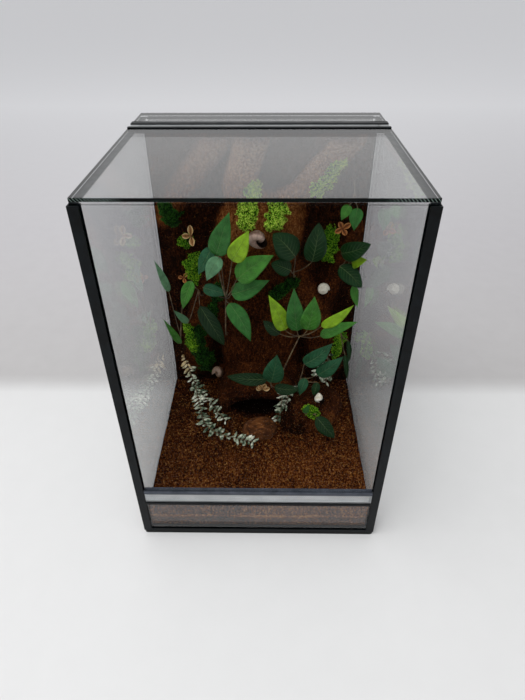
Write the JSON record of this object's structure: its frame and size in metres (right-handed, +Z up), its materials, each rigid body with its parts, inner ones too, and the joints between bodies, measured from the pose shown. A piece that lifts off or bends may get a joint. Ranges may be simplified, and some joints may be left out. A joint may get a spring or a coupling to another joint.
{
  "type": "terrarium cabinet",
  "caption": "Upright glass terrarium cabinet with a lifting front pane, perforated vents and a planted carved background.",
  "frame": {"origin": "centre of the underside, on the surface the cabinet stands on", "axes": "+Z up; the lifting front pane faces -Y; +X is to the viewer's right"},
  "size_m": [0.3, 0.3, 0.4512],
  "materials": {
    "clear_glass": "clear float glass, dark green seen through its edge",
    "foam_pad": "matt black closed-cell foam",
    "black_sealant": "satin black silicone",
    "black_plastic": "black extruded plastic, soft sheen",
    "perforated_aluminium": "bright mill-finish perforated sheet",
    "coconut_fibre": "loose reddish-brown coconut fibre",
    "carved_background": "dark fibre-coated carved foam",
    "driftwood": "worn brown bark",
    "brown_shell": "natural snail shell, brown and grey",
    "pale_shell": "natural snail shell, bleached cream",
    "seed_husk": "dry papery husk",
    "bright_moss": "preserved yellow-green moss",
    "dark_moss": "preserved dark green moss",
    "leaf_green": "artificial leaves, satin, some lime",
    "silver_leaf": "artificial silver-green succulent"
  },
  "bodies": {
    "cabinet": {"base_glass": "clear_glass", "left_glass": "clear_glass", "right_glass": "clear_glass", "back_glass": "clear_glass", "top_glass": "clear_glass", "rear_top_glass": "clear_glass", "sill_glass": "clear_glass", "base_pad": "foam_pad", "left_base_seal": "black_sealant", "right_base_seal": "black_sealant", "back_base_seal": "black_sealant", "left_top_seal": "black_sealant", "right_top_seal": "black_sealant", "back_top_seal": "black_sealant", "left_rear_seal": "black_sealant", "right_rear_seal": "black_sealant", "left_channel": "black_plastic", "right_channel": "black_plastic", "sill_foot_profile": "black_plastic", "vent_lower_profile": "black_plastic", "door_rest_profile": "black_plastic", "top_vent_front_rail": "black_plastic", "top_vent_rear_rail": "black_plastic", "top_vent_grille": "perforated_aluminium", "front_vent_grille": "perforated_aluminium", "substrate_bed": "coconut_fibre", "background_panel": "carved_background", "cave_arch": "carved_background", "bark_piece": "driftwood", "snail_shell_upper": "brown_shell", "snail_shell_left": "brown_shell", "snail_shell_right": "pale_shell", "snail_shell_low": "pale_shell", "seed_pod_left": "seed_husk", "seed_pod_low_left": "seed_husk", "seed_pod_centre": "seed_husk", "seed_pod_right": "seed_husk", "moss_left_limb": "bright_moss", "moss_right_limb": "bright_moss", "moss_upper_right": "bright_moss", "moss_left_column": "bright_moss", "moss_low_left": "bright_moss", "moss_right_column": "bright_moss", "moss_low_right": "bright_moss", "moss_far_left": "dark_moss", "leaves_upper_left": "leaf_green", "leaves_far_left": "leaf_green", "leaves_upper_centre": "leaf_green", "leaves_upper_right": "leaf_green", "leaves_top_right": "leaf_green", "leaves_ledge": "leaf_green", "leaves_ledge_low": "leaf_green", "leaves_lip": "leaf_green", "leaf_floor_right": "leaf_green", "blades_right": "leaf_green", "spikes_left": "silver_leaf", "vine_left": "silver_leaf", "vine_centre": "silver_leaf", "vine_right": "silver_leaf"},
    "front_pane": {"front_glass": "clear_glass"}
  },
  "joints": [
    {"name": "front_pane_lift", "type": "slide", "parent": "cabinet", "child": "front_pane", "axis": [0, 0, 1], "range_m": [0, 0.34]}
  ]
}
